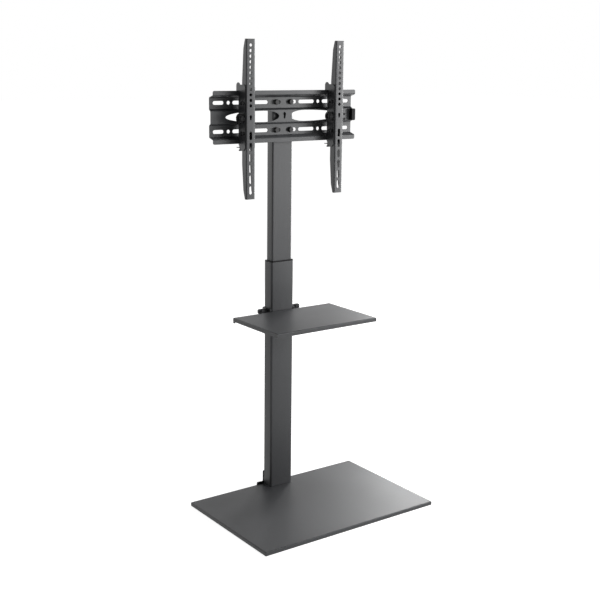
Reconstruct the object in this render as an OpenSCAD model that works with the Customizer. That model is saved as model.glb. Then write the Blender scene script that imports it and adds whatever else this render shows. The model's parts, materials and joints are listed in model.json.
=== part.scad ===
// Height-adjustable floor stand for a flat screen, with a media shelf and a tilting screen mount.
// Millimetres. X runs left to right as seen by the viewer, Y runs to the back, Z up.
// The origin is the centre of the base on the floor. The screen hangs on the -Y side.

/* [Base] */
// Width of the base pan
base_w = 600; // [500:1:800]
// Depth of the base pan
base_d = 400; // [340:1:560]
// Sheet thickness of the base pan
base_sheet = 2.5; // [2:0.1:3]
// Height of the base pan's folded rim
base_rim_h = 11.5; // [10.5:0.1:20]
// Outer bend radius of the base pan
base_bend_r = 3; // [3:0.1:4]
// Air gap under the rim, given by the rubber feet
base_lift = 0.8; // [0.5:0.1:3]
// Diameter of one rubber foot
foot_pad_d = 24; // [16:1:40]
// Distance from a foot's centre to the edges of the base
foot_pad_inset = 24; // [24:1:50]
// Thickness of the reinforcing plate under the column
stiffener_t = 3; // [2:0.1:3.5]
// Width of the reinforcing plate
stiffener_w = 240; // [140:1:400]
// Depth of the reinforcing plate
stiffener_d = 130; // [90:1:200]

/* [Column] */
// Width of the fixed outer tube
outer_w = 80; // [78:1:120]
// Depth of the fixed outer tube
outer_d = 40; // [38:1:70]
// Wall of the outer tube
outer_wall = 2; // [1.5:0.1:2.5]
// Corner radius of the outer tube
outer_r = 6; // [5:0.5:9]
// Height of the outer tube with its collar, above the floor
outer_top = 720; // [650:1:850]
// Width of the sliding inner tube
inner_w = 70; // [60:1:71]
// Depth of the sliding inner tube
inner_d = 30; // [26:1:31]
// Wall of the inner tube
inner_wall = 2; // [1.5:0.1:3]
// Corner radius of the inner tube
inner_r = 4; // [3:0.5:6]
// Length of inner tube that stays inside the outer one as pictured
inner_insert = 290; // [240:1:400]
// Thickness of the collar's rim
collar_rim = 3; // [2:0.5:6]
// Depth of the collar's sleeve inside the outer tube
collar_sleeve = 15; // [8:1:22]
// Length of the glide shoe on the inner tube's lower end
glide_h = 40; // [20:1:80]
// Height of the threaded boss for the height screws
boss_h = 50; // [44:1:60]
// Distance from the boss's top to the outer tube's rim
boss_drop = 15; // [5:1:40]
// Distance between the two height screws
height_screw_pitch = 26; // [20:1:30]

/* [Foot bracket] */
// Sheet thickness of the bracket behind the column's foot
bracket_t = 4.5; // [3:0.5:6]
// Width across the bracket's wings
bracket_w = 124; // [116:1:180]
// Height of the bracket's wings above the base
bracket_wing_rise = 6; // [3:0.5:12]
// Height of the bracket's upstand above the base
bracket_rise = 40; // [34:1:80]

/* [Shelf] */
// Width of the shelf tray
shelf_w = 352; // [280:1:480]
// Depth of the shelf tray
shelf_d = 228; // [170:1:300]
// Height of the tray's top face above the floor, as pictured
shelf_z = 569; // [300:1:630]
// Height of the tray's folded lips
shelf_lip = 12; // [10:0.5:25]
// Sheet thickness of the tray
shelf_sheet = 2; // [1.2:0.1:2.5]
// Outer bend radius of the tray
shelf_bend_r = 3; // [2.6:0.1:4]
// Length of the deeper tab at the back end of each side lip
shelf_tab_l = 9; // [5:1:20]
// How far that tab reaches below the lip
shelf_tab_drop = 4; // [1:0.5:8]
// Gap between the tray and the column
shelf_gap = 1.5; // [1:0.1:4]
// Sheet thickness of the clamp
clamp_t = 3; // [2:0.5:4]
// Half width across the clamp's ears
clamp_ear_x = 75; // [72:1:85]
// Height of the clamp's ears
clamp_ear_h = 14; // [12:0.5:20]
// Height of the clamp's band round the column
clamp_band_h = 23; // [20:0.5:30]
// How far the clamp's top stands above the tray
clamp_rise = 7; // [5:0.5:10]
// Length of the support arms under the tray
clamp_arm_l = 130; // [80:1:150]

/* [Rail] */
// Length of the rail across the column
rail_w = 499; // [480:1:620]
// Height of the rail
rail_h = 147.2; // [130:0.1:170]
// Height of the rail's centre above the floor, as pictured
rail_z = 1147; // [1100:1:1300]
// Sheet thickness of the rail
rail_sheet = 2; // [1.6:0.1:2.4]
// Inner bend radius of the rail
rail_bend_r = 1.8; // [1:0.1:2.5]
// Height of each lip that the arms hook on
rail_lip_h = 12.7; // [11:0.1:14]
// Distance from the lips forward of the two bands
rail_lip_out = 20; // [17:0.5:26]
// Distance from the middle web forward of the two bands
rail_web_out = 7; // [4:0.5:10]
// Height of the slope between each lip and its recessed band
rail_ledge = 6; // [4:0.1:8]
// Height of the flat middle web
rail_web_h = 36; // [36:0.5:38]
// Distance from the middle of each band out to its row of slots
rail_row_out = 1.6; // [0:0.1:3]
// Height of the slots, and diameter of the holes between them
rail_slot_h = 10.5; // [9:0.5:13]
// Rounding of the lips' outer corners
rail_corner_r = 5; // [2:0.5:8]
// Distance from the middle to each bolt that holds the rail
rail_bolt_x = 25; // [20:1:27]

/* [Screen arms] */
// Distance from the middle to the left arm's centre, as pictured
left_arm_x = 150.3; // [110:0.1:200]
// Distance from the middle to the right arm's centre, as pictured
right_arm_x = 160.1; // [110:0.1:200]
// Distance from the rail's lips forward to the arms' front faces
arm_stand = 38; // [38:0.5:46]
// Width of an arm's face
arm_w = 28.5; // [24:0.5:34]
// Sheet thickness of an arm
arm_sheet = 2; // [1.5:0.1:2.5]
// Outer bend radius of an arm
arm_bend_r = 2.6; // [2.6:0.1:4]
// Length of an arm above its pivot
arm_up = 217; // [217:1:260]
// Length of an arm below its pivot
arm_down = 226; // [226:1:270]
// Depth of the arm's flanges along its middle
arm_flange = 23; // [21:0.5:23.5]
// Depth of the flanges at the ends
arm_flange_end = 8.5; // [8:0.5:14]
// Depth of the flanges at the shoulders
arm_flange_shoulder = 16.5; // [15:0.5:20]
// Diameter of the screw holes in an arm
arm_hole_d = 8.6; // [6:0.1:9]
// Distance between the screw holes
arm_hole_pitch = 15; // [14:0.5:16]
// Distance between the screw slots
arm_slot_pitch = 30.5; // [28:0.5:32]
// End-to-end length of a screw slot
arm_slot_l = 23; // [16:0.5:24]
// Width of a screw slot
arm_slot_w = 8.6; // [6:0.1:9]
// Distance from an arm's front face back to its pivot
pivot_depth = 16.5; // [15:0.1:17]
// Distance from the rail's centre down to the pivot
pivot_drop = 2; // [0:0.5:4]
// Diameter of the tilt bolt
tilt_bolt_d = 8; // [6:0.5:10]
// Radius from the pivot to the guide pins
guide_r = 42; // [36:0.5:46]
// Diameter of the guide pins
guide_pin_d = 10; // [6:0.5:11]
// Half the angle that the guide slots allow
guide_half_angle = 9.5; // [9:0.5:11]

/* [Hook brackets] */
// Sheet thickness of a hook bracket
hook_sheet = 2; // [1.5:0.1:2.5]
// Clearance between an arm and the cheeks on each side of it
hook_side_gap = 0.3; // [0.2:0.05:0.6]
// Height of the cheeks' top above the rail's upper edge
hook_rise = 22.9; // [18:0.1:26]
// Height of the cheeks' rounded crest above their front part
hook_crest = 6; // [2:0.5:7]
// Depth of the cheeks behind the arm's front face at the hook
hook_back = 49.5; // [47:0.5:52]
// How far the hook reaches down behind the lip
hook_reach = 10; // [6:0.5:11]
// Length of the tab behind the lower lip
lock_tab_l = 14.6; // [10:0.1:16]
// Distance from the rail's lower edge down to the tab's underside
lock_tab_drop = 11.9; // [10.5:0.1:16]
// Diameter of the lock screw
lock_screw_d = 5; // [4:0.5:6]
// Length of the lock screw under its head
lock_screw_l = 16.6; // [14:0.1:22]
// Diameter of a tilt knob
knob_d = 27; // [24:0.5:34]
// Thickness of a tilt knob
knob_h = 13; // [11:0.5:18]
// Number of finger grooves round a tilt knob
knob_lobes = 8; // [5:1:12]

/* [Clearances] */
// Radial clearance of a bolt in a turning hole
turn_gap = 0.05; // [0.02:0.01:0.1]
// Radial clearance of a bolt in a plain hole
bolt_gap = 0.25; // [0.15:0.05:0.4]
// Gap between parts that slide on each other
slide_gap = 0.3; // [0.2:0.05:0.4]
// Gap between parts that only rest side by side
rest_gap = 0.3; // [0.2:0.05:0.5]

/* [Hidden] */
$fn = 48;
// Overrun of cutting shapes past the surfaces that they cut
over = 1;
// Number of flats along one sheet bend
bend_steps = 4;
// Number of flats round the long and the short end of a lens-shaped opening
lens_steps_out = 24;
lens_steps_in = 16;
// Number of flats along a rounded corner of a hook's cheek
corner_steps = 8;
// Width of a screw's hexagon socket as a share of the screw's diameter
socket_share = 0.7;

// Colours
steel = "#4b4c4e";
steel_dark = "#3a3b3d";
plastic = "#1b1b1d";
rubber = "#141415";
zinc = "#b4b7bb";
screw_black = "#2a2b2d";
brass = "#b59a5b";

// Base, worked out from its sheet sizes
base_top = base_lift + base_rim_h;
base_under = base_top - base_sheet;
base_back = base_d / 2;
foot_x = base_w / 2 - foot_pad_inset;
foot_y = base_d / 2 - foot_pad_inset;
foot_places = [[-foot_x, -foot_y], [foot_x, -foot_y], [-foot_x, foot_y], [foot_x, foot_y], [0, 0]];

// Column, with its rear face flush with the base's back edge
column_y = base_back - outer_d / 2;
outer_front = base_back - outer_d;
inner_front = column_y - inner_d / 2;
inner_back = column_y + inner_d / 2;
inner_bottom = outer_top - inner_insert;
inner_cap_t = 3;
inner_cap_plug = 8;
inner_top_drop = 9;
inner_top = rail_z + rail_h / 2 - inner_top_drop;
glide_floor = 6;

// Foot plate welded in the outer tube, and the bolts from under the base
foot_plate_t = 8;
base_bolt_d = 8;
base_bolt_head_d = 13;
base_bolt_head_h = 4.5;
base_bolt_x = 26;
base_bolt_y = 9;

// Foot bracket screws
bracket_screw_d = 6;
bracket_screw_head_d = 10.5;
bracket_screw_head_h = 3.3;
bracket_screw_x = 20;
bracket_screw_rise = 24;
rim_screw_d = 4;
rim_screw_head_d = 7.5;
rim_screw_head_h = 2.4;
bracket_corner_r = 4;
rim_screw_x = bracket_w / 2 - rim_screw_head_d / 2 - bracket_corner_r / 2;
rim_screw_z = base_lift + (base_rim_h - base_sheet) / 2;
bracket_floor_gap = 1.5;

// Threaded boss and height screws on the back of the outer tube
boss_w = 24;
boss_t = 8;
boss_r = 3;
boss_z = outer_top - boss_drop - boss_h / 2;
height_screw_d = 8;
height_screw_head_d = 13;
height_screw_head_h = 5;
height_screw_play = 0.5;

// Shelf, with its back edge just in front of the column
shelf_back = outer_front - shelf_gap;
shelf_mid_y = shelf_back - shelf_d / 2;
clamp_inner_x = outer_w / 2 + slide_gap;
clamp_outer_x = clamp_inner_x + clamp_t;
clamp_top = shelf_z + clamp_rise;
clamp_split = slide_gap;
clamp_bolt_d = 6;
clamp_bolt_head_d = 10;
clamp_bolt_head_h = 6;
clamp_nut_af = 10;
clamp_nut_h = 5;
clamp_bolt_x = (clamp_outer_x + clamp_ear_x) / 2 + clamp_t;
clamp_ear_r = 4;
clamp_nose_h = 8;
clamp_cross_back = 5;
clamp_flange_w = 18;
clamp_bolt_tail = 2;

// Rail, standing against the inner tube's front face
band_back = inner_front;
band_front = band_back - rail_sheet;
lip_front = band_front - rail_lip_out;
web_front = band_front - rail_web_out;
rail_top = rail_z + rail_h / 2;
rail_low = rail_z - rail_h / 2;
band_slope = 3.9;
rail_band_h = rail_h / 2 - rail_lip_h - rail_ledge - band_slope - rail_web_h / 2;
rail_row = rail_web_h / 2 + band_slope + rail_band_h / 2 + rail_row_out;
// Slots and holes of the right half of a row. The first two slots start at a distance from the
// middle, and all that lies further out is placed by its distance from the rail's end
rail_end = rail_w / 2;
slot_1_from = 10;
slot_1_to = 45.5;
slot_2_from = 54;
slot_2_to_end = 139.5;
hole_1_to_end = 124.5;
slot_3_from_end = 110;
slot_3_to_end = 75.5;
hole_2_to_end = 62;
slot_4_from_end = 46.3;
slot_4_to_end = 11.3;
rail_slots = [
    [slot_1_from, slot_1_to], [slot_2_from, rail_end - slot_2_to_end],
    [rail_end - slot_3_from_end, rail_end - slot_3_to_end],
    [rail_end - slot_4_from_end, rail_end - slot_4_to_end]
];
rail_holes = [rail_end - hole_1_to_end, rail_end - hole_2_to_end];
lens_in = 19.3;
lens_mid = 72;
lens_to_end = 48.5;
lens_out = rail_end - lens_to_end;
lens_half_h = 16;
drop_hole_r = 4.2;
drop_hole_rise = 6.8;
drop_hole_tail = 14;
rail_bolt_d = 8;
rail_bolt_af = 13;
rail_bolt_head_h = 5.3;
rail_washer_d = 16.5;
rail_washer_t = 1.6;
rail_nut_d = 11;
rail_nut_l = 8;

// End block on the rail's right end: a body in front of the web, a plate behind it and two pegs
end_block_l = 12;
end_block_past = 1.7;
end_block_h = 35;
end_block_clip = 3;
end_block_clip_h = 31;
end_block_clip_l = 38;
end_block_r = 4;
end_block_gap = 0.1;
end_peg_to_end = 30;
end_peg_rises = [1, -13.5];
end_peg_d = 4;
end_peg_head_d = 6;
end_peg_head_h = 1.2;

// Arms
arm_front = lip_front - arm_stand;
pivot_y = arm_front + pivot_depth;
pivot_z = rail_z - pivot_drop;
arm_shoulder = 25;
arm_deep_up = 102;
arm_deep_down = 128;
arm_first_hole = 200;
arm_holes = 12;
arm_first_slot = -48;
arm_slots = 6;
arm_drop_r = 3.6;
arm_drop_rise = 5.5;
arm_drop_tail = 9.5;

// Hook bracket
cheek_in = arm_w / 2 + hook_side_gap;
cheek_out = cheek_in + hook_sheet;
cheek_front = 4;
web_back = arm_stand - rest_gap;
hook_gap = 0.4;
hook_top = rail_h / 2 + hook_rise;
cheek_low_past = 19.4;
cheek_low = rail_h / 2 + cheek_low_past;
cheek_low_depth = 25;
cheek_catch_depth = 37;
cheek_catch_past = 2.4;
cheek_catch_drop = rail_h / 2 + cheek_catch_past;
cheek_front_past = 10.4;
cheek_front_drop = rail_h / 2 + cheek_front_past;
cheek_front_round = 8.5;
hook_round = 9;
crest_angle = 160;
lock_screw_side = -8.5;
lock_screw_y_gap = 1;
lock_screw_depth = arm_stand - rest_gap + lock_screw_y_gap + lock_screw_d / 2;
lock_head_d = 8.5;
lock_head_h = 3.5;
lock_tip_gap = 0.3;

// Guide pins, ending a little inside the cheeks' outer faces
guide_pin_short = 0.2;

// Tilt bolt, washer and knob
tilt_head_d = 16;
tilt_head_h = 4;
washer_d = 18;
washer_t = 1.5;
knob_recess_d = 13;
knob_recess = 2.5;
knob_groove_r = 4;
knob_groove_in = 1.6;
knob_chamfer = 1.5;
knob_hub_d = 20;
knob_hub_h = 2;
insert_af = 12;
insert_l = 8;

// Flat shapes

module round_rect(w, d, r) {
    square([w - 2 * r, d], center = true);
    square([w, d - 2 * r], center = true);
    for (sx = [-1, 1], sy = [-1, 1])
        translate([sx * (w / 2 - r), sy * (d / 2 - r)])
            circle(r);
}

// A slot lying along X between two end points
module slot_shape(x0, x1, w) {
    translate([x0 + w / 2, -w / 2])
        square([x1 - x0 - w, w]);
    translate([x0 + w / 2, 0])
        circle(w / 2);
    translate([x1 - w / 2, 0])
        circle(w / 2);
}

// Outline of a folded sheet's section: a bar with both top corners rounded
module folded_section(w, h, r) {
    translate([-w / 2, 0])
        square([w, h - r]);
    translate([-w / 2 + r, 0])
        square([w - 2 * r, h]);
    for (s = [-1, 1])
        translate([s * (w / 2 - r), h - r])
            circle(r);
}

// A hole with a round top and a tail that narrows downwards
module drop_shape(r, tail) {
    circle(r);
    polygon([[-r, 0], [r, 0], [r / 2, -tail], [-r / 2, -tail]]);
}

// Points on an oval about cx, cy between two angles
function oval(cx, cy, a, b, from, to, steps) =
    [for (i = [0 : steps]) let (t = from + (to - from) * i / steps) [cx + a * cos(t), cy + b * sin(t)]];

function unit(v) = v / norm(v);
function left_of(v) = [-v[1], v[0]];
function heading(v) = atan2(v[1], v[0]);
function bend_angle(a, b) = atan2(a[0] * b[1] - a[1] * b[0], a * b);

// One side of a bent strip that follows the points p: h is the offset to the left
function strip_side(p, r, h) = concat(
    [p[0] + h * left_of(unit(p[1] - p[0]))],
    [for (i = [1 : len(p) - 2])
        let (
            a = unit(p[i] - p[i - 1]),
            b = unit(p[i + 1] - p[i]),
            turn = bend_angle(a, b),
            s = sign(turn),
            centre = p[i] - a * r * tan(abs(turn) / 2) + s * r * left_of(a)
        )
        for (k = [0 : bend_steps])
            let (
                t = heading(a) + turn * k / bend_steps,
                n = [-sin(t), cos(t)]
            )
            centre - (s * r - h) * n],
    [p[len(p) - 1] + h * left_of(unit(p[len(p) - 1] - p[len(p) - 2]))]
);

function reversed(p) = [for (i = [len(p) - 1 : -1 : 0]) p[i]];

// A bent strip of sheet of thickness t round the middle line p
module bent_strip(p, t, inner_r) {
    polygon(concat(
        strip_side(p, inner_r + t / 2, t / 2),
        reversed(strip_side(p, inner_r + t / 2, -t / 2))
    ));
}

// Extrusions along the other two axes

// Flat X goes to Y and flat Y to Z, and the length runs along X from x0 to x1
module along_x(x0, x1) {
    translate([x0, 0, 0])
        rotate([90, 0, 90])
            linear_extrude(x1 - x0)
                children();
}

// Flat X stays X and flat Y goes to Z, and the length runs along Y from y0 to y1
module along_y(y0, y1) {
    translate([0, y1, 0])
        rotate([90, 0, 0])
            linear_extrude(y1 - y0)
                children();
}

module box(x0, x1, y0, y1, z0, z1) {
    translate([x0, y0, z0])
        cube([x1 - x0, y1 - y0, z1 - z0]);
}

module rod_x(x0, x1, y, z, r) {
    translate([x0, y, z])
        rotate([0, 90, 0])
            cylinder(h = x1 - x0, r = r);
}

module rod_y(y0, y1, x, z, r) {
    translate([x, y1, z])
        rotate([90, 0, 0])
            cylinder(h = y1 - y0, r = r);
}

module rod_z(z0, z1, x, y, r) {
    translate([x, y, z0])
        cylinder(h = z1 - z0, r = r);
}

// Tube along Z with rounded corners
module rect_tube(w, d, r, wall, z0, z1) {
    translate([0, column_y, z0])
        difference() {
            linear_extrude(z1 - z0)
                round_rect(w, d, r);
            translate([0, 0, -over])
                linear_extrude(z1 - z0 + 2 * over)
                    round_rect(w - 2 * wall, d - 2 * wall, r - wall);
        }
}

// A pan folded from sheet: top face at z = h, open below, rounded along its four top edges
module folded_block(w, d, h, r) {
    intersection() {
        along_y(-d / 2, d / 2)
            folded_section(w, h, r);
        along_x(-w / 2, w / 2)
            folded_section(d, h, r);
    }
}

module folded_pan(w, d, h, sheet, r) {
    difference() {
        folded_block(w, d, h, r);
        translate([0, 0, -over])
            folded_block(w - 2 * sheet, d - 2 * sheet, h - sheet + over, r - sheet);
    }
}

// Screws and nuts stand along Z: the head is below zero and the shank above

module round_head_screw(d, l, head_d, head_h) {
    difference() {
        union() {
            cylinder(h = l, d = d);
            translate([0, 0, -head_h])
                cylinder(h = head_h, d = head_d);
        }
        translate([0, 0, -head_h - over])
            cylinder(h = head_h / 2 + over, d = d * socket_share, $fn = 6);
    }
}

module hex_head_bolt(d, l, af, head_h) {
    cylinder(h = l, d = d);
    translate([0, 0, -head_h])
        cylinder(h = head_h, d = af / cos(30), $fn = 6);
}

module hex_nut(d, af, h) {
    difference() {
        cylinder(h = h, d = af / cos(30), $fn = 6);
        translate([0, 0, -over])
            cylinder(h = h + 2 * over, d = d + 2 * turn_gap);
    }
}

// Base

module base_bolt_places() {
    for (sx = [-1, 1], sy = [-1, 1])
        translate([sx * base_bolt_x, column_y + sy * base_bolt_y, 0])
            children();
}

module base_pan() {
    color(steel)
        difference() {
            translate([0, 0, base_lift])
                folded_pan(base_w, base_d, base_rim_h, base_sheet, base_bend_r);
            base_bolt_places()
                cylinder(h = base_top + over, d = base_bolt_d + 2 * bolt_gap);
            for (s = [-1, 1])
                rod_y(base_back - base_sheet - over, base_back + over, s * rim_screw_x, rim_screw_z,
                    rim_screw_d / 2 + turn_gap);
        }
}

module base_stiffener() {
    color(steel_dark)
        difference() {
            translate([0, base_back - base_bend_r - rest_gap - stiffener_d / 2, base_under - stiffener_t])
                linear_extrude(stiffener_t)
                    round_rect(stiffener_w, stiffener_d, stiffener_t);
            base_bolt_places()
                cylinder(h = base_top, d = base_bolt_d + 2 * bolt_gap);
        }
}

module rubber_feet() {
    color(rubber)
        for (place = foot_places)
            translate(place)
                cylinder(h = base_under, d = foot_pad_d);
}

module column_foot_plate() {
    color(steel_dark)
        difference() {
            translate([0, column_y, base_top])
                linear_extrude(foot_plate_t)
                    round_rect(outer_w - 2 * outer_wall - turn_gap, outer_d - 2 * outer_wall - turn_gap,
                        outer_r - outer_wall);
            base_bolt_places()
                cylinder(h = base_top + foot_plate_t + over, d = base_bolt_d + 2 * turn_gap);
        }
}

module base_bolts() {
    color(zinc)
        base_bolt_places()
            translate([0, 0, base_under - stiffener_t])
                round_head_screw(base_bolt_d, stiffener_t + base_sheet + foot_plate_t,
                    base_bolt_head_d, base_bolt_head_h);
}

// Column

module outer_tube() {
    color(steel)
        difference() {
            rect_tube(outer_w, outer_d, outer_r, outer_wall, base_top, outer_top - collar_rim);
            for (s = [-1, 1]) {
                rod_y(column_y, base_back + over, 0, boss_z + s * height_screw_pitch / 2,
                    height_screw_d / 2 + bolt_gap);
                rod_y(column_y, base_back + over, s * bracket_screw_x, base_top + bracket_screw_rise,
                    bracket_screw_d / 2 + turn_gap);
            }
        }
}

module bracket_outline() {
    wing_low = bracket_floor_gap;
    wing_top = base_top + bracket_wing_rise;
    top = base_top + bracket_rise;
    translate([0, (wing_low + wing_top) / 2])
        round_rect(bracket_w, wing_top - wing_low, bracket_corner_r);
    translate([0, (wing_low + top) / 2])
        round_rect(outer_w, top - wing_low, bracket_corner_r);
}

module foot_bracket() {
    color(steel)
        difference() {
            along_y(base_back, base_back + bracket_t)
                bracket_outline();
            for (s = [-1, 1]) {
                rod_y(base_back - over, base_back + bracket_t + over, s * bracket_screw_x,
                    base_top + bracket_screw_rise, bracket_screw_d / 2 + bolt_gap);
                rod_y(base_back - over, base_back + bracket_t + over, s * rim_screw_x, rim_screw_z,
                    rim_screw_d / 2 + bolt_gap);
            }
        }
}

module foot_bracket_screws() {
    color(screw_black)
        for (s = [-1, 1]) {
            translate([s * bracket_screw_x, base_back + bracket_t, base_top + bracket_screw_rise])
                rotate([90, 0, 0])
                    round_head_screw(bracket_screw_d, bracket_t + 2 * outer_wall,
                        bracket_screw_head_d, bracket_screw_head_h);
            translate([s * rim_screw_x, base_back + bracket_t, rim_screw_z])
                rotate([90, 0, 0])
                    round_head_screw(rim_screw_d, bracket_t + base_sheet,
                        rim_screw_head_d, rim_screw_head_h);
        }
}

module tube_collar() {
    rim_z = outer_top - collar_rim;
    color(plastic)
        difference() {
            union() {
                translate([0, column_y, rim_z])
                    linear_extrude(collar_rim)
                        round_rect(outer_w, outer_d, outer_r);
                translate([0, column_y, rim_z - collar_sleeve])
                    linear_extrude(collar_sleeve + collar_rim / 2)
                        round_rect(outer_w - 2 * outer_wall - turn_gap, outer_d - 2 * outer_wall - turn_gap,
                            outer_r - outer_wall);
            }
            translate([0, column_y, rim_z - collar_sleeve - over])
                linear_extrude(collar_sleeve + collar_rim + 2 * over)
                    round_rect(inner_w + 2 * slide_gap, inner_d + 2 * slide_gap, inner_r + slide_gap);
        }
}

module height_screw_boss() {
    color(steel_dark)
        difference() {
            along_y(base_back, base_back + boss_t)
                translate([0, boss_z])
                    round_rect(boss_w, boss_h, boss_r);
            for (s = [-1, 1])
                rod_y(base_back - over, base_back + boss_t + over, 0, boss_z + s * height_screw_pitch / 2,
                    height_screw_d / 2 + turn_gap);
        }
}

module height_screw(side) {
    head_y = base_back + boss_t + height_screw_play;
    color(screw_black)
        translate([0, head_y, boss_z + side * height_screw_pitch / 2])
            rotate([90, 0, 0])
                round_head_screw(height_screw_d, head_y - inner_back - turn_gap,
                    height_screw_head_d, height_screw_head_h);
}

module height_screw_upper() {
    height_screw(1);
}

module height_screw_lower() {
    height_screw(-1);
}

module rail_bolt_places() {
    for (sx = [-1, 1], sz = [-1, 1])
        translate([sx * rail_bolt_x, 0, rail_z + sz * rail_row])
            children();
}

module inner_tube() {
    color(steel)
        difference() {
            rect_tube(inner_w, inner_d, inner_r, inner_wall, inner_bottom, inner_top - inner_cap_t);
            rail_bolt_places()
                rod_y(inner_front - over, column_y, 0, 0, rail_nut_d / 2 + turn_gap);
        }
}

module inner_tube_glide() {
    out_w = outer_w - 2 * outer_wall - 2 * slide_gap;
    out_d = outer_d - 2 * outer_wall - 2 * slide_gap;
    color(plastic)
        translate([0, column_y, inner_bottom - glide_floor])
            difference() {
                linear_extrude(glide_h)
                    round_rect(out_w, out_d, outer_r - outer_wall - slide_gap);
                translate([0, 0, glide_floor])
                    linear_extrude(glide_h)
                        round_rect(inner_w + turn_gap, inner_d + turn_gap, inner_r);
            }
}

module inner_tube_cap() {
    color(plastic)
        translate([0, column_y, inner_top - inner_cap_t]) {
            linear_extrude(inner_cap_t)
                round_rect(inner_w, inner_d, inner_r);
            translate([0, 0, -inner_cap_plug])
                linear_extrude(inner_cap_plug + inner_cap_t / 2)
                    round_rect(inner_w - 2 * inner_wall - turn_gap, inner_d - 2 * inner_wall - turn_gap,
                        inner_r - inner_wall);
        }
}

// Rail

// Middle line of the rail's sheet in Y and Z, from the top lip to the bottom one
function rail_line() =
    let (
        lip = lip_front + rail_sheet / 2,
        band = band_front + rail_sheet / 2,
        web = web_front + rail_sheet / 2,
        lip_z = rail_h / 2 - rail_lip_h,
        web_z = rail_web_h / 2,
        band_low = web_z + band_slope,
        band_high = band_low + rail_band_h
    )
    [
        [lip, rail_h / 2], [lip, lip_z], [band, band_high], [band, band_low], [web, web_z],
        [web, -web_z], [band, -band_low], [band, -band_high], [lip, -lip_z], [lip, -rail_h / 2]
    ];

module lens_shape() {
    polygon(concat(
        oval(lens_mid, 0, lens_out - lens_mid, lens_half_h, -90, 90, lens_steps_out),
        oval(lens_mid, 0, lens_mid - lens_in, lens_half_h, 90, 270, lens_steps_in)
    ));
}

module end_peg_places() {
    for (rise = end_peg_rises)
        translate([rail_end - end_peg_to_end, 0, rise])
            children();
}

module rail_openings() {
    for (s = [0, 1])
        mirror([s, 0]) {
            for (z = [-rail_row, rail_row])
                translate([0, z]) {
                    for (slot = rail_slots)
                        slot_shape(slot[0], slot[1], rail_slot_h);
                    for (x = rail_holes)
                        translate([x, 0])
                            circle(d = rail_slot_h);
                }
            lens_shape();
        }
    translate([0, drop_hole_rise])
        drop_shape(drop_hole_r, drop_hole_tail);
}

module rail() {
    color(steel)
        translate([0, 0, rail_z])
            difference() {
                intersection() {
                    along_x(-rail_w / 2, rail_w / 2)
                        bent_strip(rail_line(), rail_sheet, rail_bend_r);
                    along_y(lip_front - over, band_back + over)
                        round_rect(rail_w, rail_h, rail_corner_r);
                }
                along_y(lip_front - over, band_back + over)
                    rail_openings();
                end_peg_places()
                    rod_y(web_front - over, web_front + rail_sheet + over, 0, 0,
                        end_peg_d / 2 + end_block_gap);
            }
}

module rail_bolts() {
    color(screw_black)
        rail_bolt_places()
            translate([0, band_front - rail_washer_t, 0])
                rotate([-90, 0, 0])
                    hex_head_bolt(rail_bolt_d, rail_washer_t + rail_sheet + rail_nut_l,
                        rail_bolt_af, rail_bolt_head_h);
}

module rail_washers() {
    color(screw_black)
        rail_bolt_places()
            difference() {
                rod_y(band_front - rail_washer_t, band_front, 0, 0, rail_washer_d / 2);
                rod_y(band_front - rail_washer_t - over, band_front + over, 0, 0,
                    rail_bolt_d / 2 + bolt_gap);
            }
}

module rail_nut_inserts() {
    color(zinc)
        rail_bolt_places()
            difference() {
                rod_y(inner_front, inner_front + rail_nut_l, 0, 0, rail_nut_d / 2);
                rod_y(inner_front - over, inner_front + rail_nut_l + over, 0, 0,
                    rail_bolt_d / 2 + turn_gap);
            }
}

// Plastic block that clips over the right end of the rail's middle web
module rail_end_block() {
    end = rail_end + end_block_past;
    web_back_face = web_front + rail_sheet;
    color(plastic)
        translate([0, 0, rail_z]) {
            difference() {
                union() {
                    along_y(lip_front, web_front - end_block_gap) {
                        translate([end - end_block_l / 2, 0])
                            round_rect(end_block_l, end_block_h, end_block_r);
                        translate([end - end_block_l, -end_block_h / 2])
                            square([end_block_l / 2, end_block_h]);
                    }
                    box(end - end_block_clip_l, end, web_front - 2 * end_block_gap,
                        web_back_face + end_block_clip, -end_block_clip_h / 2, end_block_clip_h / 2);
                }
                box(end - end_block_clip_l - over, rail_end + end_block_gap,
                    web_front - end_block_gap, web_back_face + end_block_gap,
                    -end_block_h, end_block_h);
                box(end - end_block_clip_l - over, end - end_block_l,
                    lip_front, web_front, -end_block_h, end_block_h);
            }
            end_peg_places() {
                rod_y(web_front - end_block_gap - end_peg_head_h / 2, web_back_face + end_block_clip / 2,
                    0, 0, end_peg_d / 2);
                rod_y(web_front - end_block_gap - end_peg_head_h, web_front - end_block_gap,
                    0, 0, end_peg_head_d / 2);
            }
        }
}

// Shelf

module shelf_tray() {
    tab_z = shelf_z - shelf_lip - shelf_tab_drop;
    color(steel)
        difference() {
            union() {
                translate([0, shelf_mid_y, shelf_z - shelf_lip])
                    folded_pan(shelf_w, shelf_d, shelf_lip, shelf_sheet, shelf_bend_r);
                for (s = [0, 1])
                    mirror([s, 0, 0])
                        box(shelf_w / 2 - shelf_sheet, shelf_w / 2, shelf_back - shelf_tab_l, shelf_back,
                            tab_z, shelf_z - shelf_lip + shelf_sheet);
            }
            for (s = [0, 1])
                mirror([s, 0, 0])
                    box(clamp_inner_x - slide_gap, clamp_outer_x + slide_gap,
                        shelf_back - shelf_sheet - over, shelf_back + over,
                        tab_z - over, shelf_z - shelf_sheet);
        }
}

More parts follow.
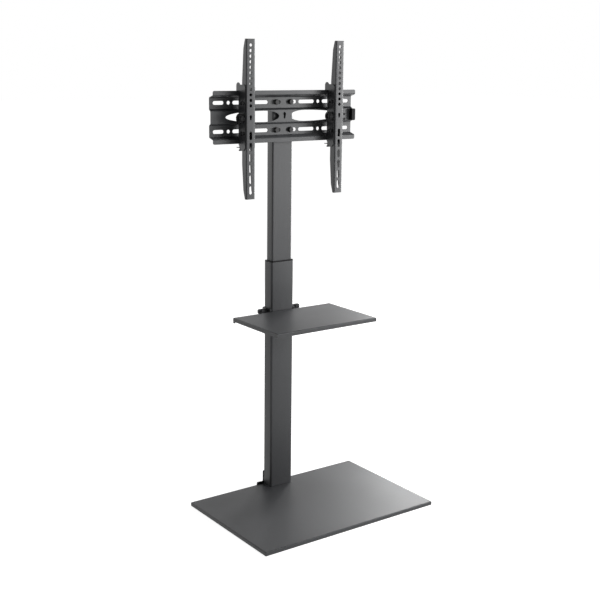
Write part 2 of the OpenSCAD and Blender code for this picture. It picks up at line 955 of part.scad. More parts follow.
// Side of the front clamp half in Y and Z: the band beside the column and the arm under the tray
module clamp_side_outline() {
    under = shelf_z - shelf_sheet;
    band_low = clamp_top - clamp_band_h;
    nose = shelf_back - clamp_arm_l;
    polygon([
        [column_y - clamp_split, clamp_top],
        [outer_front, clamp_top],
        [outer_front, under],
        [nose, under],
        [nose, under - clamp_nose_h],
        [outer_front - clamp_t, band_low],
        [column_y - clamp_split, band_low]
    ]);
}

module clamp_ears(y0) {
    ear_z = clamp_top - clamp_ear_h / 2;
    for (s = [0, 1])
        mirror([s, 0, 0])
            difference() {
                along_y(y0, y0 + clamp_t) {
                    translate([(clamp_inner_x + clamp_ear_x) / 2, ear_z])
                        round_rect(clamp_ear_x - clamp_inner_x, clamp_ear_h, clamp_ear_r);
                    translate([clamp_inner_x, ear_z - clamp_ear_h / 2])
                        square([clamp_ear_r + clamp_t, clamp_ear_h]);
                }
                rod_y(y0 - over, y0 + clamp_t + over, clamp_bolt_x, ear_z, clamp_bolt_d / 2 + bolt_gap);
            }
}

module shelf_bracket() {
    under = shelf_z - shelf_sheet;
    cross_y = shelf_back - shelf_sheet - clamp_cross_back;
    flange_back = cross_y - clamp_t;
    color(steel_dark)
        union() {
            for (s = [0, 1])
                mirror([s, 0, 0]) {
                    along_x(clamp_inner_x, clamp_outer_x)
                        clamp_side_outline();
                    box(clamp_inner_x, clamp_outer_x + clamp_flange_w,
                        shelf_back - clamp_arm_l, flange_back, under - clamp_t, under);
                }
            box(-clamp_outer_x, clamp_outer_x, cross_y - clamp_t, cross_y,
                under - shelf_lip, under);
            clamp_ears(column_y - clamp_split - clamp_t);
        }
}

module shelf_clamp_rear() {
    band_low = clamp_top - clamp_band_h;
    wall_y = base_back + slide_gap;
    color(steel_dark)
        union() {
            for (s = [0, 1])
                mirror([s, 0, 0])
                    box(clamp_inner_x, clamp_outer_x, column_y + clamp_split, wall_y + clamp_t,
                        band_low, clamp_top);
            box(-clamp_outer_x, clamp_outer_x, wall_y, wall_y + clamp_t, band_low, clamp_top);
            clamp_ears(column_y + clamp_split);
        }
}

module clamp_bolt_places(y) {
    for (s = [-1, 1])
        translate([s * clamp_bolt_x, y, clamp_top - clamp_ear_h / 2])
            rotate([-90, 0, 0])
                children();
}

module shelf_clamp_bolts() {
    stack = 2 * (clamp_t + clamp_split);
    color(screw_black)
        clamp_bolt_places(column_y - stack / 2)
            round_head_screw(clamp_bolt_d, stack + clamp_nut_h + clamp_bolt_tail,
                clamp_bolt_head_d, clamp_bolt_head_h);
}

module shelf_clamp_nuts() {
    color(screw_black)
        clamp_bolt_places(column_y + clamp_split + clamp_t)
            hex_nut(clamp_bolt_d, clamp_nut_af, clamp_nut_h);
}

// Screen arms. Each module below is placed by the arm's own centre x

// Side view of an arm's flange, from its front face at zero to its back edge, about the pivot
module arm_side_outline() {
    polygon([
        [0, -arm_down], [arm_flange_end, -arm_down],
        [arm_flange_shoulder, arm_shoulder - arm_down], [arm_flange, -arm_deep_down],
        [arm_flange, arm_deep_up], [arm_flange_shoulder, arm_up - arm_shoulder],
        [arm_flange_end, arm_up], [0, arm_up]
    ]);
}

// Section of an arm seen from above: a channel open to the back
module channel_section() {
    difference() {
        channel_block(arm_w, arm_flange, arm_bend_r);
        translate([0, arm_sheet])
            channel_block(arm_w - 2 * arm_sheet, arm_flange + over, arm_bend_r - arm_sheet);
    }
}

module channel_block(w, d, r) {
    translate([-w / 2, r])
        square([w, d - r]);
    translate([-w / 2 + r, 0])
        square([w - 2 * r, d]);
    for (s = [-1, 1])
        translate([s * (w / 2 - r), r])
            circle(r);
}

module arm_face_openings() {
    for (i = [0 : arm_holes - 1])
        translate([0, arm_first_hole - i * arm_hole_pitch])
            circle(d = arm_hole_d);
    for (i = [0 : arm_slots - 1])
        translate([0, arm_first_slot - i * arm_slot_pitch])
            rotate(90)
                slot_shape(-arm_slot_l / 2, arm_slot_l / 2, arm_slot_w);
    translate([0, arm_drop_rise])
        drop_shape(arm_drop_r, arm_drop_tail);
}

module arm(x) {
    color(steel)
        translate([x, arm_front, pivot_z])
            difference() {
                intersection() {
                    translate([0, 0, -arm_down])
                        linear_extrude(arm_up + arm_down)
                            channel_section();
                    along_x(-arm_w / 2, arm_w / 2)
                        arm_side_outline();
                }
                along_y(-over, arm_sheet + over)
                    arm_face_openings();
                rod_x(-arm_w, arm_w, pivot_depth, 0, tilt_bolt_d / 2 + turn_gap);
                for (s = [-1, 1])
                    rod_x(-arm_w, arm_w, pivot_depth, s * guide_r, guide_pin_d / 2 + turn_gap);
            }
}

module guide_pins(x) {
    pin_half = cheek_out - guide_pin_short;
    color(screw_black)
        for (s = [-1, 1])
            rod_x(x - pin_half, x + pin_half, pivot_y, pivot_z + s * guide_r, guide_pin_d / 2);
}

// A curved slot about the pivot, drawn round the upward direction
module guide_slot() {
    w = guide_pin_d + 2 * slide_gap;
    reach = 2 * guide_r;
    intersection() {
        difference() {
            circle(guide_r + w / 2);
            circle(guide_r - w / 2);
        }
        polygon([
            [0, 0],
            [reach * sin(guide_half_angle), reach * cos(guide_half_angle)],
            [-reach * sin(guide_half_angle), reach * cos(guide_half_angle)]
        ]);
    }
    for (s = [-1, 1])
        rotate(s * guide_half_angle)
            translate([0, guide_r])
                circle(w / 2);
}

// Side view of a hook cheek: X is the depth behind the arm's face, Y the height above the rail's centre
module cheek_outline() {
    lip_in = rail_h / 2 + rest_gap;
    finger_low = rail_h / 2 - hook_reach;
    finger_front = arm_stand + rail_sheet + hook_gap;
    front_r = cheek_front_round;
    difference() {
        polygon(concat(
            [[cheek_front, -cheek_front_drop]],
            oval(cheek_front + front_r, hook_top - hook_crest - front_r, front_r, front_r, 180, 90,
                corner_steps),
            oval(hook_back - hook_round, hook_top - hook_round, hook_round, hook_round, crest_angle, 0,
                corner_steps),
            [
                [hook_back, finger_low + rail_sheet], [hook_back - rail_sheet, finger_low],
                [finger_front, finger_low], [finger_front, lip_in], [web_back, lip_in],
                [web_back, -cheek_catch_drop], [cheek_catch_depth, -cheek_catch_drop],
                [cheek_low_depth + hook_sheet, -cheek_low + hook_sheet], [cheek_low_depth, -cheek_low],
                [cheek_low_depth / 2, -cheek_low + hook_sheet]
            ]
        ));
        translate([pivot_depth, -pivot_drop]) {
            guide_slot();
            rotate(180)
                guide_slot();
            circle(tilt_bolt_d / 2 + turn_gap);
        }
    }
}

module hook_bracket(x) {
    tab_low = -rail_h / 2 - lock_tab_drop;
    color(steel)
        translate([x, arm_front, rail_z])
            difference() {
                union() {
                    for (s = [0, 1])
                        mirror([s, 0, 0])
                            along_x(cheek_in, cheek_out)
                                cheek_outline();
                    box(-cheek_out, cheek_out, web_back - hook_sheet, web_back,
                        -cheek_catch_drop, rail_h / 2);
                    box(-arm_w / 2, arm_w / 2, web_back - hook_sheet, web_back,
                        tab_low, -cheek_catch_drop + over);
                    box(-arm_w / 2, arm_w / 2, web_back - hook_sheet, web_back + lock_tab_l,
                        tab_low, tab_low + hook_sheet);
                }
                rod_z(tab_low - over, tab_low + hook_sheet + over, lock_screw_side, lock_screw_depth,
                    lock_screw_d / 2 + turn_gap);
            }
}

module tilt_bolt(x) {
    bolt_end = cheek_out + washer_t + knob_h - knob_recess - knob_hub_h / 2;
    color(screw_black)
        translate([x + cheek_out, pivot_y, pivot_z])
            rotate([0, -90, 0]) {
                cylinder(h = cheek_out + bolt_end, d = tilt_bolt_d);
                translate([0, 0, -tilt_head_h])
                    cylinder(h = tilt_head_h, d1 = tilt_head_d / 2, d2 = tilt_head_d);
            }
}

module tilt_washer(x) {
    x1 = x - cheek_out;
    color(zinc)
        difference() {
            rod_x(x1 - washer_t, x1, pivot_y, pivot_z, washer_d / 2);
            rod_x(x1 - washer_t - over, x1 + over, pivot_y, pivot_z, tilt_bolt_d / 2 + turn_gap);
        }
}

// A knob stands along Z with its hub at zero and its face at the top
module knob_body() {
    difference() {
        union() {
            cylinder(h = knob_hub_h, d = knob_hub_d);
            translate([0, 0, knob_hub_h])
                cylinder(h = knob_h - knob_hub_h - knob_chamfer, d = knob_d);
            translate([0, 0, knob_h - knob_chamfer])
                cylinder(h = knob_chamfer, d1 = knob_d, d2 = knob_d - 2 * knob_chamfer);
        }
        for (i = [0 : knob_lobes - 1])
            rotate(i * 360 / knob_lobes)
                translate([knob_d / 2 + knob_groove_r - knob_groove_in, 0, -over])
                    cylinder(h = knob_h + 2 * over, r = knob_groove_r);
        translate([0, 0, knob_h - knob_recess])
            cylinder(h = knob_recess + over, d = knob_recess_d);
        translate([0, 0, -over])
            cylinder(h = knob_h + over, d = tilt_bolt_d + 2 * turn_gap);
        translate([0, 0, -over])
            cylinder(h = insert_l + over, d = insert_af / cos(30) + turn_gap, $fn = 6);
    }
}

module knob_place(x) {
    translate([x - cheek_out - washer_t, pivot_y, pivot_z])
        rotate([0, -90, 0])
            children();
}

module tilt_knob(x) {
    color(plastic)
        knob_place(x)
            knob_body();
}

module knob_insert(x) {
    color(brass)
        knob_place(x)
            hex_nut(tilt_bolt_d, insert_af, insert_l);
}

module lock_screw(x) {
    tip_z = rail_low - lock_tip_gap;
    color(screw_black)
        translate([x + lock_screw_side, arm_front + lock_screw_depth, tip_z - lock_screw_l])
            round_head_screw(lock_screw_d, lock_screw_l, lock_head_d, lock_head_h);
}

base_pan();
base_stiffener();
rubber_feet();
column_foot_plate();
base_bolts();
outer_tube();
foot_bracket();
foot_bracket_screws();
tube_collar();
height_screw_boss();
height_screw_upper();
height_screw_lower();
inner_tube();
inner_tube_glide();
inner_tube_cap();
rail();
rail_bolts();
rail_washers();
rail_nut_inserts();
rail_end_block();
shelf_tray();
shelf_bracket();
shelf_clamp_rear();
shelf_clamp_bolts();
shelf_clamp_nuts();
hook_bracket(-left_arm_x);  // left_hook_bracket
tilt_bolt(-left_arm_x);  // left_tilt_bolt
tilt_washer(-left_arm_x);  // left_tilt_washer
arm(-left_arm_x);  // left_arm
guide_pins(-left_arm_x);  // left_guide_pins
tilt_knob(-left_arm_x);  // left_tilt_knob
knob_insert(-left_arm_x);  // left_knob_insert
lock_screw(-left_arm_x);  // left_lock_screw
hook_bracket(right_arm_x);  // right_hook_bracket
tilt_bolt(right_arm_x);  // right_tilt_bolt
tilt_washer(right_arm_x);  // right_tilt_washer
arm(right_arm_x);  // right_arm
guide_pins(right_arm_x);  // right_guide_pins
tilt_knob(right_arm_x);  // right_tilt_knob
knob_insert(right_arm_x);  // right_knob_insert
lock_screw(right_arm_x);  // right_lock_screw
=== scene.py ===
# %% [markdown]
# # A floor stand for a flat screen
# The stand is bent and welded sheet steel under a dark powder coat: a flat base, a column of two tubes
# that slide in each other, a shelf on a clamp, and a slotted rail with two tilting arms.
# Its exact shapes come from the CAD frame. They could be modelled again here, but then the looks and the
# mechanism would drift apart, so this notebook dresses the CAD shapes and adds only their fine details.

# %% Load the frame
import json
import math

import bmesh
import bpy
from mathutils import Matrix, Vector


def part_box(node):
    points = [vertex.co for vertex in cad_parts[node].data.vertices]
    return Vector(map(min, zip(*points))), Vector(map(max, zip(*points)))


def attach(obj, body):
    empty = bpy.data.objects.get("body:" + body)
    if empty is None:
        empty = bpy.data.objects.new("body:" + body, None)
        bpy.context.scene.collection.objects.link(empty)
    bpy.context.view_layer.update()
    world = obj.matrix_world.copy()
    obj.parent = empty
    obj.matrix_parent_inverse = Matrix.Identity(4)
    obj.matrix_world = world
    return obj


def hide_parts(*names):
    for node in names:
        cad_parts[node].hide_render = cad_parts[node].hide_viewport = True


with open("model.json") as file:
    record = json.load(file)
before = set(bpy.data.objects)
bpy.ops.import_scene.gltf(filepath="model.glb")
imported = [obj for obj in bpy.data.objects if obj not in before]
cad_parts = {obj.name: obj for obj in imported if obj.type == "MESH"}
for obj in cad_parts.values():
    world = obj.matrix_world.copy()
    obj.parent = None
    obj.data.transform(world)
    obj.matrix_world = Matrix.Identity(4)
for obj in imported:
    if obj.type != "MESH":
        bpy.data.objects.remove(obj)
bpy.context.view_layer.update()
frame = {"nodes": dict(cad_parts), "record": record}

MM = 0.001
nodes = frame["nodes"]
record = frame["record"]
slot_of_node = {part["node"]: part["material_slot"] for part in record["subparts"]}
body_of_node = {node: body for body, names in record["behaviour"]["bodies"].items() for node in names}

# %% [markdown]
# ## Camera
# The photograph was taken from the left and a little above. A camera could be placed by eye, but here its
# view was found by fitting the straight edges of the base, the column and the rail, so it is set by its
# angles and its place. The optical axis was not in the middle of the picture, and the shift puts it back.

# %% Camera
IMAGE_PX = 600
FOCAL_PX = 1053.75
AXIS_PX = (294.47, 270.44)
AZIMUTH, ELEVATION, ROLL = (math.radians(angle) for angle in (-35.61, 11.22, 0.55))
CAMERA_AT = Vector((-1.7675, -2.3681, 1.3020))
SENSOR_MM = 36
FARTHEST_SEEN = 50

backward = Vector((math.sin(AZIMUTH) * math.cos(ELEVATION),
                   -math.cos(AZIMUTH) * math.cos(ELEVATION),
                   math.sin(ELEVATION)))
right = Vector((0, 0, 1)).cross(backward).normalized()
up = backward.cross(right)
roll_turn = Matrix.Rotation(ROLL, 3, backward)
axes = Matrix((roll_turn @ right, roll_turn @ up, backward)).transposed()

camera_data = bpy.data.cameras.new("camera")
camera_data.sensor_width = SENSOR_MM
camera_data.lens = FOCAL_PX / IMAGE_PX * SENSOR_MM
camera_data.shift_x = (IMAGE_PX / 2 - AXIS_PX[0]) / IMAGE_PX
camera_data.shift_y = (AXIS_PX[1] - IMAGE_PX / 2) / IMAGE_PX
camera_data.clip_end = FARTHEST_SEEN
camera = bpy.data.objects.new("camera", camera_data)
camera.matrix_world = Matrix.Translation(CAMERA_AT) @ axes.to_4x4()
bpy.context.scene.collection.objects.link(camera)
bpy.context.scene.camera = camera
bpy.context.scene.view_settings.view_transform = "Standard"
print("lens", round(camera_data.lens, 2), "mm")

# %% [markdown]
# ## Helpers for materials
# A colour is written as it looks on a screen, in sRGB, while the renderer works with linear light, so one
# function turns the first into the second. Materials are trees of nodes. They could be linked by hand in
# the editor, but in a script one small function that adds a node with its settings keeps them short.

# %% Colour and node helpers
def linear(hex_colour, alpha=1.0):
    """A colour for Blender from an sRGB hex value such as #4b4c4e."""
    parts = [int(hex_colour[i:i + 2], 16) / 255 for i in (1, 3, 5)]
    return (*[p / 12.92 if p <= 0.04045 else ((p + 0.055) / 1.055) ** 2.4 for p in parts], alpha)


def add_node(tree, kind, inputs=None, links=None, **settings):
    """A node of that kind: settings are its attributes, inputs its sockets' values, links its sources."""
    node = tree.nodes.new(kind)
    for name, value in settings.items():
        setattr(node, name, value)
    for name, value in (inputs or {}).items():
        node.inputs[name].default_value = value
    for name, source in (links or {}).items():
        tree.links.new(source, node.inputs[name])
    return node


def new_material(name):
    """An empty node material, with its tree and its output node."""
    material = bpy.data.materials.new(name)
    material.use_nodes = True
    material.node_tree.nodes.clear()
    return material, material.node_tree, add_node(material.node_tree, "ShaderNodeOutputMaterial")


def seen_directly(tree):
    """One for camera, glossy and transmission rays, and zero for the light that falls on surfaces."""
    path = add_node(tree, "ShaderNodeLightPath")
    seen = add_node(tree, "ShaderNodeMath", {},
                    {0: path.outputs["Is Camera Ray"], 1: path.outputs["Is Glossy Ray"]},
                    operation="MAXIMUM")
    either = add_node(tree, "ShaderNodeMath", {},
                      {0: seen.outputs[0], 1: path.outputs["Is Transmission Ray"]},
                      operation="MAXIMUM")
    return either.outputs[0]


# %% [markdown]
# ## Floor, background and light
# The photograph has a pure white background. Strong lamps could make it white, but they would bleach the
# coat as well. So the floor and the world show white only to the camera and to reflections, while the
# light on the steel comes from soft boxes, and the floor near the stand still takes its shadow.
# A dark ceiling hangs above, as in a studio: without it every upward face would mirror white.

# %% Floor
FLOOR_SIZE = 60
NEAR, FAR = 2.0, 6.0
NEAR_GLOW, FAR_GLOW = 0.9, 1.0       # near the stand the lamps add the rest, except in its shadow
WHITE, BLACK = linear("#ffffff"), linear("#000000")

floor_material, tree, output = new_material("studio_floor")
paper = add_node(tree, "ShaderNodeBsdfDiffuse", {"Color": linear("#b9b9b9")})
place = add_node(tree, "ShaderNodeTexCoord").outputs["Object"]
away = add_node(tree, "ShaderNodeVectorMath", {}, {0: place}, operation="LENGTH")
rise = add_node(tree, "ShaderNodeMapRange",
                {"From Min": NEAR, "From Max": FAR, "To Min": NEAR_GLOW, "To Max": FAR_GLOW},
                {"Value": away.outputs["Value"]})
glow = add_node(tree, "ShaderNodeEmission", {"Color": WHITE}, {"Strength": rise.outputs["Result"]})
nothing = add_node(tree, "ShaderNodeEmission", {"Color": BLACK})
shown = add_node(tree, "ShaderNodeMixShader", {},
                 {0: seen_directly(tree), 1: nothing.outputs[0], 2: glow.outputs[0]})
both = add_node(tree, "ShaderNodeAddShader", {}, {0: paper.outputs[0], 1: shown.outputs[0]})
tree.links.new(both.outputs[0], output.inputs["Surface"])


def studio_sheet(name, size, height, material):
    """A square sheet of the studio, which isn't part of the object."""
    shape = bmesh.new()
    bmesh.ops.create_grid(shape, x_segments=1, y_segments=1, size=size / 2)
    bmesh.ops.translate(shape, verts=shape.verts, vec=(0, 0, height))
    mesh = bpy.data.meshes.new(name)
    shape.to_mesh(mesh)
    shape.free()
    mesh.materials.append(material)
    sheet = bpy.data.objects.new(name, mesh)
    bpy.context.scene.collection.objects.link(sheet)
    return sheet


studio_sheet("studio_floor", FLOOR_SIZE, 0, floor_material)
print("floor", FLOOR_SIZE, "m")

# %% Ceiling and world
CEILING_SIZE, CEILING_HEIGHT = 9, 4.2
FILL_LIGHT, SEEN_LIGHT = 0.06, 1.0

ceiling_material, tree, output = new_material("studio_ceiling")
felt = add_node(tree, "ShaderNodeBsdfDiffuse", {"Color": linear("#303030")})
tree.links.new(felt.outputs[0], output.inputs["Surface"])
ceiling = studio_sheet("studio_ceiling", CEILING_SIZE, CEILING_HEIGHT, ceiling_material)
ceiling.visible_camera = False
ceiling.visible_shadow = False

world = bpy.data.worlds.new("studio")
world.use_nodes = True
world.node_tree.nodes.clear()
tree = world.node_tree
fill = add_node(tree, "ShaderNodeBackground", {"Color": WHITE, "Strength": FILL_LIGHT})
seen_white = add_node(tree, "ShaderNodeBackground", {"Color": WHITE, "Strength": SEEN_LIGHT})
mixed = add_node(tree, "ShaderNodeMixShader", {},
                 {0: seen_directly(tree), 1: fill.outputs[0], 2: seen_white.outputs[0]})
add_node(tree, "ShaderNodeOutputWorld", {}, {"Surface": mixed.outputs[0]})
bpy.context.scene.world = world
print("ceiling", CEILING_SIZE, "m at", CEILING_HEIGHT, "m")

# %% [markdown]
# ## Lamps
# The photograph is lit mainly from the right, by large soft boxes. A sun lamp would be simpler, but its
# sharp highlights don't suit a satin coat. Upright area lamps stand on a circle about the stand, and
# each one's level is its brightness as seen from the stand, so a box of any size keeps the same look.
# One small lamp overhead draws a fine highlight along the rounded upper edges.

# %% Lamps
BOX_WIDTH, BOX_HEIGHT, BOX_DISTANCE = 0.8, 1.5, 3.0
BOX_CENTRE, FRONT_CENTRE = 1.2, 1.25
CIRCLE_Y = 0.1                       # the circle's centre, between the base's middle and the column


def lamp_at(name, width, height, level, place, turn):
    """An area lamp of a given size, brightness, place and turn."""
    data = bpy.data.lights.new(name, "AREA")
    data.shape = "RECTANGLE"
    data.size, data.size_y = width, height
    data.energy = level * math.pi * width * height
    lamp = bpy.data.objects.new(name, data)
    lamp.location = place
    lamp.rotation_euler = turn
    bpy.context.scene.collection.objects.link(lamp)
    return lamp


def soft_box(name, bearing, level, centre=BOX_CENTRE):
    """An upright soft box that faces the stand: bearing in degrees from the front to the right."""
    angle = math.radians(bearing)
    place = (BOX_DISTANCE * math.sin(angle), CIRCLE_Y - BOX_DISTANCE * math.cos(angle), centre)
    return lamp_at(name, BOX_WIDTH, BOX_HEIGHT, level, place, (math.radians(90), 0, angle))


soft_box("front_box", 42, 5.2, FRONT_CENTRE)
soft_box("front_right_box", 55, 19.0, FRONT_CENTRE)
soft_box("right_box", 100, 16.0)
soft_box("back_right_box", 125, 10.0)
soft_box("back_left_box", 206, 3.0)

TOP_SIZE, TOP_LEVEL, TOP_AT = 0.35, 60.0, (0.4, -0.4, 3.2)
lamp_at("top_box", TOP_SIZE, TOP_SIZE, TOP_LEVEL, TOP_AT, (0, 0, 0))

# %% [markdown]
# ## Powder coat on steel
# Polyester powder is sprayed on the bent sheet and baked, which leaves a satin film with the fine bumps
# that painters call orange peel. It could be one flat dark grey, but then the large faces would look like
# card. Two noises give the film its pebbled grain and a slow change of gloss across a face.

# %% Materials of the coated steel
TONE_SPREAD = 0.14                   # share by which the grain darkens and lightens the colour
DARKEST_AT, LIGHTEST_AT = 0.3, 0.7   # noise values at which those tones are reached
FILM_GLOSS_SPREAD = 0.03
GLOSS_PATCH_MM = 111                 # gloss changes over patches as wide as a hand
BUMP_STRENGTH = 0.3


def coated_steel(name, hex_colour, roughness, grain_mm, bump_mm):
    """Powder-coated steel: a satin, slightly uneven film with bumps grain_mm apart and bump_mm high."""
    material, tree, output = new_material(name)
    place = add_node(tree, "ShaderNodeTexCoord").outputs["Object"]
    patches = add_node(tree, "ShaderNodeTexNoise",
                       {"Scale": 1 / (GLOSS_PATCH_MM * MM), "Detail": 3.0, "Roughness": 0.5},
                       {"Vector": place})
    grain = add_node(tree, "ShaderNodeTexNoise",
                     {"Scale": 1 / (grain_mm * MM), "Detail": 2.0, "Roughness": 0.6}, {"Vector": place})
    gloss = add_node(tree, "ShaderNodeMapRange",
                     {"To Min": roughness - FILM_GLOSS_SPREAD, "To Max": roughness + FILM_GLOSS_SPREAD},
                     {"Value": patches.outputs["Fac"]})
    tones = add_node(tree, "ShaderNodeValToRGB", {}, {"Fac": grain.outputs["Fac"]})
    colour = linear(hex_colour)[:3]
    for element, at, share in zip(tones.color_ramp.elements, (DARKEST_AT, LIGHTEST_AT),
                                  (1 - TONE_SPREAD, 1 + TONE_SPREAD)):
        element.position = at
        element.color = (*[c * share for c in colour], 1.0)
    bump = add_node(tree, "ShaderNodeBump", {"Strength": BUMP_STRENGTH, "Distance": bump_mm * MM},
                    {"Height": grain.outputs["Fac"]})
    coat = add_node(tree, "ShaderNodeBsdfPrincipled", {"Specular IOR Level": 0.4}, {
        "Base Color": tones.outputs["Color"], "Roughness": gloss.outputs["Result"],
        "Normal": bump.outputs["Normal"]})
    tree.links.new(coat.outputs["BSDF"], output.inputs["Surface"])
    return material


# The dark grey coat of the parts that show: broad soft highlights on a neutral, nearly black film
grey_coat = coated_steel("powder_coat_anthracite", "#3c3d3f", 0.44, 1.4, 0.02)
# The blacker coat of the brackets behind them, a little smoother, so that they stay in the background
black_coat = coated_steel("powder_coat_black", "#303133", 0.42, 1.2, 0.02)
print("coats", grey_coat.name, black_coat.name)

# %% [markdown]
# ## Plastic, rubber, oxide, plating and brass
# The knobs, caps and collar are moulded nylon, the feet are rubber, the screws that show are oxidised
# black and the hidden ones are zinc plated. One shared finish would be quicker, but a knob would then
# look like steel, so each gets its own colour, gloss and grain. The real grains are a few hundredths to a
# few tenths of a millimetre wide, too fine to show, and are drawn about half a millimetre wide instead.

# %% Materials of the small parts
GLOSS_SPREAD = 0.05


def plain_finish(name, hex_colour, roughness, metallic, grain_mm, bump_mm, specular=0.5):
    """A moulded, rolled or plated surface whose gloss and height follow one fine grain."""
    material, tree, output = new_material(name)
    place = add_node(tree, "ShaderNodeTexCoord").outputs["Object"]
    grain = add_node(tree, "ShaderNodeTexNoise",
                     {"Scale": 1 / (grain_mm * MM), "Detail": 2.0}, {"Vector": place})
    gloss = add_node(tree, "ShaderNodeMapRange",
                     {"To Min": roughness - GLOSS_SPREAD, "To Max": roughness + GLOSS_SPREAD},
                     {"Value": grain.outputs["Fac"]})
    bump = add_node(tree, "ShaderNodeBump", {"Strength": BUMP_STRENGTH, "Distance": bump_mm * MM},
                    {"Height": grain.outputs["Fac"]})
    values = {"Base Color": linear(hex_colour), "Metallic": metallic, "Specular IOR Level": specular}
    surface = add_node(tree, "ShaderNodeBsdfPrincipled", values,
                       {"Roughness": gloss.outputs["Result"], "Normal": bump.outputs["Normal"]})
    tree.links.new(surface.outputs["BSDF"], output.inputs["Surface"])
    return material


finish_of = {"grey_paint": grey_coat, "black_steel": black_coat}
# Nylon from an eroded mould: a dull, even black that hides fingerprints
finish_of["black_plastic"] = plain_finish("moulded_nylon_black", "#0f0f10", 0.65, 0.0, 0.8, 0.04, 0.2)
# Pressed rubber: nearly no gloss, so that the feet read as soft
finish_of["rubber"] = plain_finish("rubber_black", "#101011", 0.75, 0.0, 0.6, 0.05)
# Zinc plating: a bright, slightly blue metal with blurred reflections
finish_of["zinc"] = plain_finish("zinc_plated_steel", "#b4b7bb", 0.32, 1.0, 0.5, 0.01)
# Turned brass: a warm yellow metal, seen only when a knob is taken off
finish_of["brass"] = plain_finish("turned_brass", "#b59a5b", 0.3, 1.0, 0.5, 0.01)
# Black oxide: darker and duller than the coated sheet, so that the screws stand out as dark dots
oxide = plain_finish("black_oxide_steel", "#121213", 0.5, 0.0, 0.4, 0.01, 0.3)
print("finishes", len(finish_of) + 1)

# %% Give every CAD node its finish
SIDES = ("left", "right")
OXIDISED = {"rail_bolts", "rail_washers", "height_screw_upper", "height_screw_lower"}
OXIDISED |= {f"{side}_{part}" for side in SIDES for part in ("tilt_bolt", "guide_pins", "lock_screw")}


def finish(name):
    """The material of a CAD node: black oxide for the screws that show, or else its slot's finish."""
    return oxide if name in OXIDISED else finish_of[slot_of_node[name]]


for name, node in nodes.items():
    node.data.materials.clear()
    node.data.materials.append(finish(name))
print("finished", len(nodes), "nodes,", len(OXIDISED), "of them in black oxide")

# %% [markdown]
# ## Soft edges on steel
# A powder coat rounds every cut edge, and that thin round catches the light along the slots and holes.
# The CAD edges are sharp. They could be rounded in the CAD, but that is slow there and quick here: each
# node is copied, the copy's loose triangles are merged and its flat faces joined, and a Bevel modifier
# is laid along its sharp edges. The CAD node itself stays as it is, but isn't shown.

# %% Helpers for dressed copies
SMOOTH_BELOW = math.radians(28)      # edges flatter than this are parts of a round
FLAT_BELOW = math.radians(0.3)
MERGE_MM = 0.001
# These pieces have very short edges, past which a wide bevel would run out into spikes, so theirs is
# held to the little that fits, and their edges stay nearly sharp
HELD_BEVELS = ("shelf_tray", "rail_end_block")


def clean_copy(node):
    """A merged copy of a CAD node's mesh with its flat faces joined."""
    shape = bmesh.new()
    shape.from_mesh(nodes[node].data)
    bmesh.ops.remove_doubles(shape, verts=shape.verts, dist=MERGE_MM * MM)
    bmesh.ops.dissolve_limit(shape, angle_limit=FLAT_BELOW, verts=shape.verts, edges=shape.edges)
    return shape


def show(shape, name, node, replaced=(), bevel_mm=0.0, segments=2):
    """Makes a piece of a shape, with the finish and body of the CAD node that it belongs to."""
    mesh = bpy.data.meshes.new(name)
    shape.to_mesh(mesh)
    shape.free()
    mesh.shade_smooth()
    mesh.set_sharp_from_angle(angle=SMOOTH_BELOW)
    mesh.materials.append(finish(node))
    piece = bpy.data.objects.new(name, mesh)
    bpy.context.scene.collection.objects.link(piece)
    if bevel_mm:
        bevel = piece.modifiers.new("soft_edge", "BEVEL")
        bevel.width = bevel_mm * MM
        bevel.segments = segments
        bevel.limit_method = "ANGLE"
        bevel.angle_limit = SMOOTH_BELOW
        bevel.use_clamp_overlap = node in HELD_BEVELS
        bevel.harden_normals = True
    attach(piece, body_of_node[node])
    for other in replaced:
        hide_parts(other)
    return piece


# %% Sheet steel and tubes
EDGE_MM = {
    "base_pan": 1.6, "outer_tube": 0.4, "inner_tube": 0.4, "rail": 0.35, "shelf_tray": 1.3,
    "shelf_bracket": 0.4, "shelf_clamp_rear": 0.4, "foot_bracket": 0.6, "base_stiffener": 0.5,
    "column_foot_plate": 0.5, "height_screw_boss": 0.8,
    "left_arm": 0.35, "right_arm": 0.35, "left_hook_bracket": 0.35, "right_hook_bracket": 0.35,
    "left_guide_pins": 0.6, "right_guide_pins": 0.6,
}
for name, width in EDGE_MM.items():
    show(clean_copy(name), name + "_coated", name, [name], width)
print("steel pieces", len(EDGE_MM))

# %% [markdown]
# ## Moulded parts
# The collar, the cap, the end block and the knobs come from a mould, whose edges are rounded so that the
# part lets go. A subdivided mesh would round them too, but it would also swell their flat faces, so they
# get a wider bevel with three segments, which stays smooth when the camera comes near. The feet are soft
# rubber, pressed in a mould as well.

# %% Collar, caps, knobs and feet
MOULDED_SEGMENTS = 3
ROUND_MM = {
    "tube_collar": 0.8, "inner_tube_cap": 1.0, "rail_end_block": 0.9, "left_tilt_knob": 0.8,
    "right_tilt_knob": 0.8, "rubber_feet": 1.2, "inner_tube_glide": 0.4,
}
for name, width in ROUND_MM.items():
    show(clean_copy(name), name + "_moulded", name, [name], width, MOULDED_SEGMENTS)
print("moulded pieces", len(ROUND_MM))

# %% [markdown]
# ## Screws, nuts and washers
# The fasteners that show are black, as in the photograph, and the hidden ones are mostly bright. A screw
# head is pressed in a die, which leaves a small chamfer on it. Without that its rim would have no
# highlight and the head would look printed on, so even these small pieces get their bevel.

